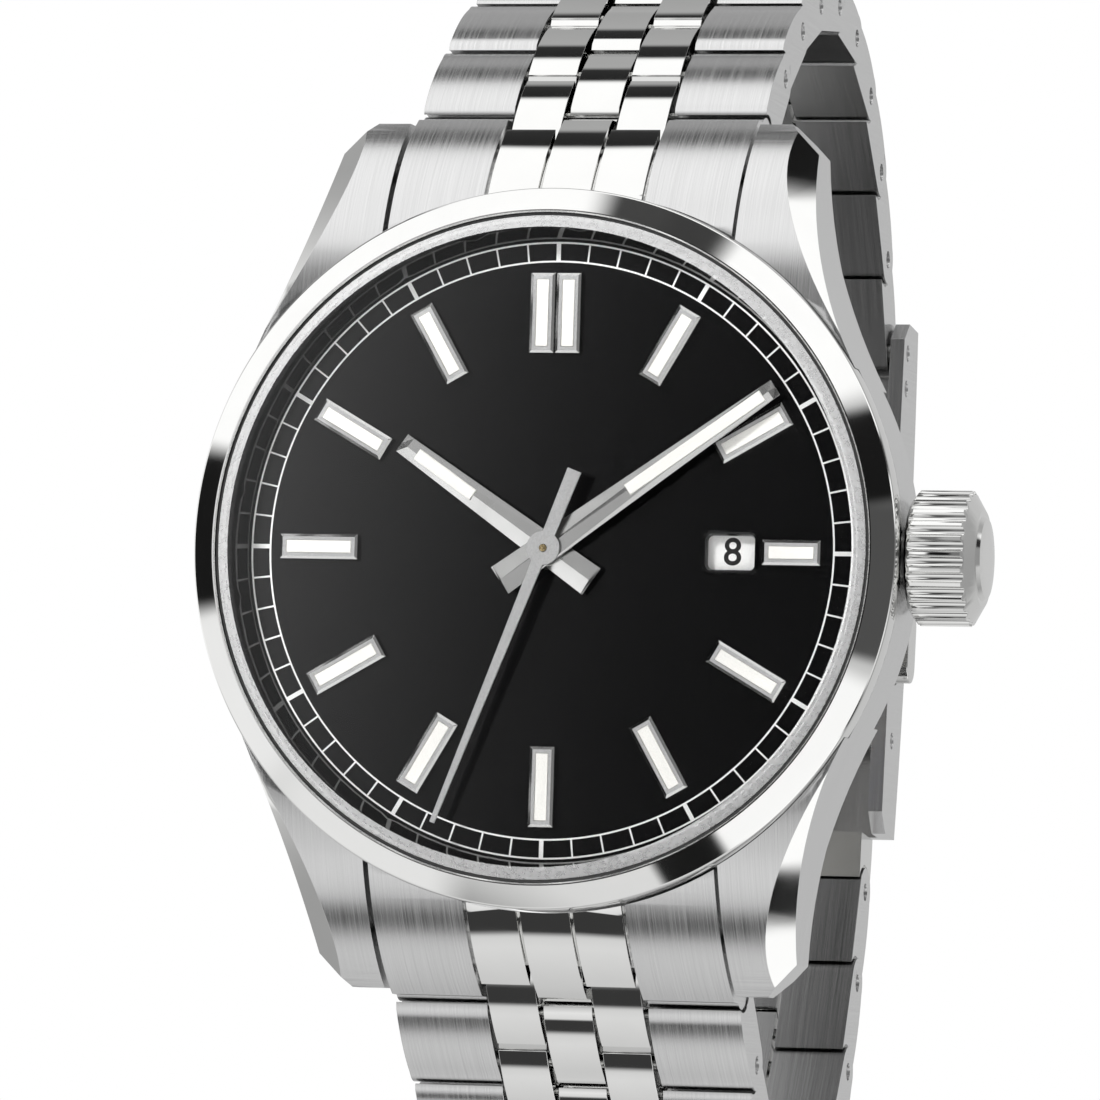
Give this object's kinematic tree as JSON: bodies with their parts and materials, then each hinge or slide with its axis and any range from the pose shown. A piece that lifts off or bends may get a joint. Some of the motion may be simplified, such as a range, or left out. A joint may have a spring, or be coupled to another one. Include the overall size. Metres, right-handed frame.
{
  "type": "wristwatch",
  "caption": "Automatic wristwatch with luminous bar markers, centre seconds, a date window, a fluted crown and a steel link bracelet that closes with a folding clasp.",
  "frame": {"origin": "centre of the flat case back, where it lies on the wrist", "axes": "+Z towards 12 o'clock, +X towards 3 o'clock and the crown, +Y out of the case back; the dial faces -Y"},
  "size_m": [0.0453, 0.0584, 0.0769],
  "materials": {
    "steel_brushed": "brushed stainless steel",
    "steel_polished": "mirror-polished stainless steel",
    "steel_satin": "fine satin steel",
    "sapphire": "clear, coated inside",
    "gasket_black": "black rubber",
    "dial_black": "satin black lacquer",
    "rehaut_black": "matte black",
    "applied_steel": "polished facets",
    "lume": "cream luminous paint",
    "date_white": "matte white",
    "print_white": "white print",
    "print_black": "black print",
    "seconds_grey": "satin grey",
    "movement_plate": "rhodium-plated brass with circular graining",
    "gear_brass": "gilt brass",
    "screw_blue": "heat-blued steel",
    "jewel_red": "synthetic ruby",
    "rotor_plated": "rhodium-plated tungsten alloy with stripes",
    "spring_steel": "hairspring alloy",
    "holder_grey": "moulded plastic"
  },
  "bodies": {
    "watch_head": {"case_middle": "steel_brushed", "bezel": "steel_polished", "crystal": "sapphire", "crystal_gasket": "gasket_black", "rehaut": "rehaut_black", "case_back": "steel_brushed", "case_back_crystal": "sapphire", "case_back_gasket": "gasket_black", "movement_holder": "holder_grey", "crown_tube": "steel_satin", "end_link_12": "steel_brushed", "end_link_6": "steel_brushed", "lug_spring_bars": "steel_satin", "dial": "dial_black", "hour_markers": "applied_steel", "marker_lume": "lume", "main_plate": "movement_plate", "train_bridge": "movement_plate", "balance_cock": "movement_plate", "movement_screws": "screw_blue"},
    "minute_works": {"minute_hand": "applied_steel"},
    "hour_works": {"hour_hand": "applied_steel"},
    "seconds_works": {"seconds_hand": "seconds_grey", "fourth_wheel": "gear_brass"},
    "third_works": {"third_wheel": "gear_brass"},
    "second_works": {"second_wheel": "gear_brass"},
    "barrel_works": {"barrel": "gear_brass"},
    "escape_works": {"escape_wheel": "gear_brass"},
    "pallet_works": {"pallet_fork": "steel_polished"},
    "balance_works": {"balance_wheel": "gear_brass", "hairspring": "spring_steel"},
    "date_works": {"date_ring": "date_white"},
    "rotor_works": {"rotor": "rotor_plated"},
    "crown_slider": {"crown_gasket": "gasket_black"},
    "crown_knob": {"winding_stem": "steel_satin", "crown": "steel_polished"},
    "link_12_1": {"link_12_1": "steel_brushed"},
    "link_12_2": {"link_12_2": "steel_brushed"},
    "link_12_3": {"link_12_3": "steel_brushed"},
    "link_12_4": {"link_12_4": "steel_brushed"},
    "link_12_5": {"link_12_5": "steel_brushed"},
    "link_12_6": {"link_12_6": "steel_brushed"},
    "link_12_7": {"link_12_7": "steel_brushed"},
    "link_12_8": {"link_12_8": "steel_brushed"},
    "link_12_9": {"link_12_9": "steel_brushed"},
    "clasp_cover": {"clasp_cover": "steel_brushed", "clasp_pins": "steel_satin"},
    "clasp_blade_outer": {"clasp_blade_outer": "steel_polished"},
    "clasp_blade_inner": {"clasp_blade_inner": "steel_polished"},
    "clasp_button_right": {"clasp_button_right": "steel_polished"},
    "clasp_button_left": {"clasp_button_left": "steel_polished"},
    "link_6_1": {"link_6_1": "steel_brushed"},
    "link_6_2": {"link_6_2": "steel_brushed"},
    "link_6_3": {"link_6_3": "steel_brushed"},
    "link_6_4": {"link_6_4": "steel_brushed"},
    "link_6_5": {"link_6_5": "steel_brushed"},
    "link_6_6": {"link_6_6": "steel_brushed"},
    "link_6_7": {"link_6_7": "steel_brushed"},
    "link_6_8": {"link_6_8": "steel_brushed"},
    "link_6_9": {"link_6_9": "steel_brushed"}
  },
  "joints": [
    {"name": "minute_hand_turn", "type": "hinge", "parent": "watch_head", "child": "minute_works", "pos_m": [0, -0.005, 0], "axis": [0, 1, 0], "continuous": true},
    {"name": "hour_hand_turn", "type": "hinge", "parent": "watch_head", "child": "hour_works", "pos_m": [0, -0.005, 0], "axis": [0, 1, 0], "continuous": true},
    {"name": "seconds_turn", "type": "hinge", "parent": "watch_head", "child": "seconds_works", "pos_m": [0, -0.005, 0], "axis": [0, 1, 0], "continuous": true},
    {"name": "third_wheel_turn", "type": "hinge", "parent": "watch_head", "child": "third_works", "pos_m": [0.00059, -0.005, 0.00335], "axis": [0, 1, 0], "continuous": true},
    {"name": "second_wheel_turn", "type": "hinge", "parent": "watch_head", "child": "second_works", "pos_m": [-0.003, -0.005, 0.00366], "axis": [0, 1, 0], "continuous": true},
    {"name": "barrel_turn", "type": "hinge", "parent": "watch_head", "child": "barrel_works", "pos_m": [-0.00667, -0.005, -0.00001], "axis": [0, 1, 0], "continuous": true},
    {"name": "escape_wheel_turn", "type": "hinge", "parent": "watch_head", "child": "escape_works", "pos_m": [0.00112, -0.005, -0.00195], "axis": [0, 1, 0], "continuous": true},
    {"name": "pallet_rock", "type": "hinge", "parent": "watch_head", "child": "pallet_works", "pos_m": [0.00243, -0.005, -0.0042], "axis": [0, 1, 0], "range_deg": [-5, 5]},
    {"name": "balance_swing", "type": "hinge", "parent": "watch_head", "child": "balance_works", "pos_m": [0.00336, -0.005, -0.00768], "axis": [0, 1, 0], "range_deg": [-270, 270], "stiffness_Nm_per_rad": 0.00000035},
    {"name": "date_ring_turn", "type": "hinge", "parent": "watch_head", "child": "date_works", "pos_m": [0, -0.005, 0], "axis": [0, 1, 0], "continuous": true},
    {"name": "rotor_turn", "type": "hinge", "parent": "watch_head", "child": "rotor_works", "pos_m": [0, -0.005, 0], "axis": [0, 1, 0], "continuous": true},
    {"name": "crown_pull", "type": "slide", "parent": "watch_head", "child": "crown_slider", "axis": [1, 0, 0], "range_m": [0, 0.0015]},
    {"name": "crown_turn", "type": "hinge", "parent": "crown_slider", "child": "crown_knob", "pos_m": [0.022, -0.0055, 0], "axis": [1, 0, 0], "continuous": true},
    {"name": "hinge_12_1", "type": "hinge", "parent": "watch_head", "child": "link_12_1", "pos_m": [0, 0.0002, 0.0242], "axis": [1, 0, 0], "range_deg": [0, 14]},
    {"name": "hinge_12_2", "type": "hinge", "parent": "link_12_1", "child": "link_12_2", "pos_m": [0, 0.00466, 0.02851], "axis": [1, 0, 0], "range_deg": [0, 10.06]},
    {"name": "hinge_12_3", "type": "hinge", "parent": "link_12_2", "child": "link_12_3", "pos_m": [0, 0.0098, 0.03197], "axis": [1, 0, 0], "range_deg": [0, 12.14]},
    {"name": "hinge_12_4", "type": "hinge", "parent": "link_12_3", "child": "link_12_4", "pos_m": [0, 0.01556, 0.03427], "axis": [1, 0, 0], "range_deg": [0, 15.06]},
    {"name": "hinge_12_5", "type": "hinge", "parent": "link_12_4", "child": "link_12_5", "pos_m": [0, 0.02172, 0.035], "axis": [1, 0, 0], "range_deg": [0, 17.14]},
    {"name": "hinge_12_6", "type": "hinge", "parent": "link_12_5", "child": "link_12_6", "pos_m": [0, 0.02782, 0.03388], "axis": [1, 0, 0], "range_deg": [0, 17.14]},
    {"name": "hinge_12_7", "type": "hinge", "parent": "link_12_6", "child": "link_12_7", "pos_m": [0, 0.03331, 0.03101], "axis": [1, 0, 0], "range_deg": [0, 15.06]},
    {"name": "hinge_12_8", "type": "hinge", "parent": "link_12_7", "child": "link_12_8", "pos_m": [0, 0.03788, 0.02682], "axis": [1, 0, 0], "range_deg": [0, 12.14]},
    {"name": "hinge_12_9", "type": "hinge", "parent": "link_12_8", "child": "link_12_9", "pos_m": [0, 0.04146, 0.02175], "axis": [1, 0, 0], "range_deg": [0, 10.06]},
    {"name": "clasp_cover_hinge", "type": "hinge", "parent": "link_12_9", "child": "clasp_cover", "pos_m": [0, 0.0441, 0.01614], "axis": [1, 0, 0], "range_deg": [0, 31.23]},
    {"name": "clasp_fold", "type": "hinge", "parent": "clasp_cover", "child": "clasp_blade_outer", "pos_m": [0, 0.04228, -0.0082], "axis": [1, 0, 0], "range_deg": [0, 168]},
    {"name": "clasp_knee", "type": "hinge", "parent": "clasp_blade_outer", "child": "clasp_blade_inner", "pos_m": [0, 0.04351, 0.01158], "axis": [1, 0, 0], "range_deg": [-168, 0]},
    {"name": "button_right_push", "type": "slide", "parent": "clasp_cover", "child": "clasp_button_right", "axis": [-1, 0, 0], "range_m": [0, 0.0007], "stiffness_N_per_m": 600},
    {"name": "button_left_push", "type": "slide", "parent": "clasp_cover", "child": "clasp_button_left", "axis": [1, 0, 0], "range_m": [0, 0.0007], "stiffness_N_per_m": 600},
    {"name": "hinge_6_1", "type": "hinge", "parent": "watch_head", "child": "link_6_1", "pos_m": [0, 0.0002, -0.0242], "axis": [-1, 0, 0], "range_deg": [0, 14]},
    {"name": "hinge_6_2", "type": "hinge", "parent": "link_6_1", "child": "link_6_2", "pos_m": [0, 0.00435, -0.02881], "axis": [-1, 0, 0], "range_deg": [0, 4.4]},
    {"name": "hinge_6_3", "type": "hinge", "parent": "link_6_2", "child": "link_6_3", "pos_m": [0, 0.00884, -0.03308], "axis": [-1, 0, 0], "range_deg": [0, 10.2]},
    {"name": "hinge_6_4", "type": "hinge", "parent": "link_6_3", "child": "link_6_4", "pos_m": [0, 0.01401, -0.0365], "axis": [-1, 0, 0], "range_deg": [0, 18.4]},
    {"name": "hinge_6_5", "type": "hinge", "parent": "link_6_4", "child": "link_6_5", "pos_m": [0, 0.02, -0.0381], "axis": [-1, 0, 0], "range_deg": [0, 24.2]},
    {"name": "hinge_6_6", "type": "hinge", "parent": "link_6_5", "child": "link_6_6", "pos_m": [0, 0.02612, -0.03711], "axis": [-1, 0, 0], "range_deg": [0, 24.2]},
    {"name": "hinge_6_7", "type": "hinge", "parent": "link_6_6", "child": "link_6_7", "pos_m": [0, 0.0313, -0.0337], "axis": [-1, 0, 0], "range_deg": [0, 18.4]},
    {"name": "hinge_6_8", "type": "hinge", "parent": "link_6_7", "child": "link_6_8", "pos_m": [0, 0.03513, -0.02882], "axis": [-1, 0, 0], "range_deg": [0, 10.2]},
    {"name": "hinge_6_9", "type": "hinge", "parent": "link_6_8", "child": "link_6_9", "pos_m": [0, 0.03804, -0.02335], "axis": [-1, 0, 0], "range_deg": [0, 4.4]}
  ],
  "couplings": [
    {"joint": "hour_hand_turn", "follows": "minute_hand_turn", "ratio": 0.083333},
    {"joint": "third_wheel_turn", "follows": "seconds_turn", "ratio": -0.13333},
    {"joint": "second_wheel_turn", "follows": "seconds_turn", "ratio": 0.016667},
    {"joint": "barrel_turn", "follows": "seconds_turn", "ratio": -0.001972},
    {"joint": "escape_wheel_turn", "follows": "seconds_turn", "ratio": -5.4286},
    {"joint": "hinge_12_2", "follows": "hinge_12_1", "ratio": 0.71889},
    {"joint": "hinge_12_3", "follows": "hinge_12_1", "ratio": 0.86682},
    {"joint": "hinge_12_4", "follows": "hinge_12_1", "ratio": 1.076},
    {"joint": "hinge_12_5", "follows": "hinge_12_1", "ratio": 1.224},
    {"joint": "hinge_12_6", "follows": "hinge_12_1", "ratio": 1.224},
    {"joint": "hinge_12_7", "follows": "hinge_12_1", "ratio": 1.076},
    {"joint": "hinge_12_8", "follows": "hinge_12_1", "ratio": 0.86682},
    {"joint": "hinge_12_9", "follows": "hinge_12_1", "ratio": 0.71889},
    {"joint": "clasp_cover_hinge", "follows": "hinge_12_1", "ratio": 2.2305},
    {"joint": "clasp_fold", "follows": "hinge_12_1", "ratio": 12},
    {"joint": "clasp_knee", "follows": "hinge_12_1", "ratio": -12},
    {"joint": "hinge_6_2", "follows": "hinge_6_1", "ratio": 0.31432},
    {"joint": "hinge_6_3", "follows": "hinge_6_1", "ratio": 0.72854},
    {"joint": "hinge_6_4", "follows": "hinge_6_1", "ratio": 1.3143},
    {"joint": "hinge_6_5", "follows": "hinge_6_1", "ratio": 1.7285},
    {"joint": "hinge_6_6", "follows": "hinge_6_1", "ratio": 1.7285},
    {"joint": "hinge_6_7", "follows": "hinge_6_1", "ratio": 1.3143},
    {"joint": "hinge_6_8", "follows": "hinge_6_1", "ratio": 0.72854},
    {"joint": "hinge_6_9", "follows": "hinge_6_1", "ratio": 0.31432}
  ]
}
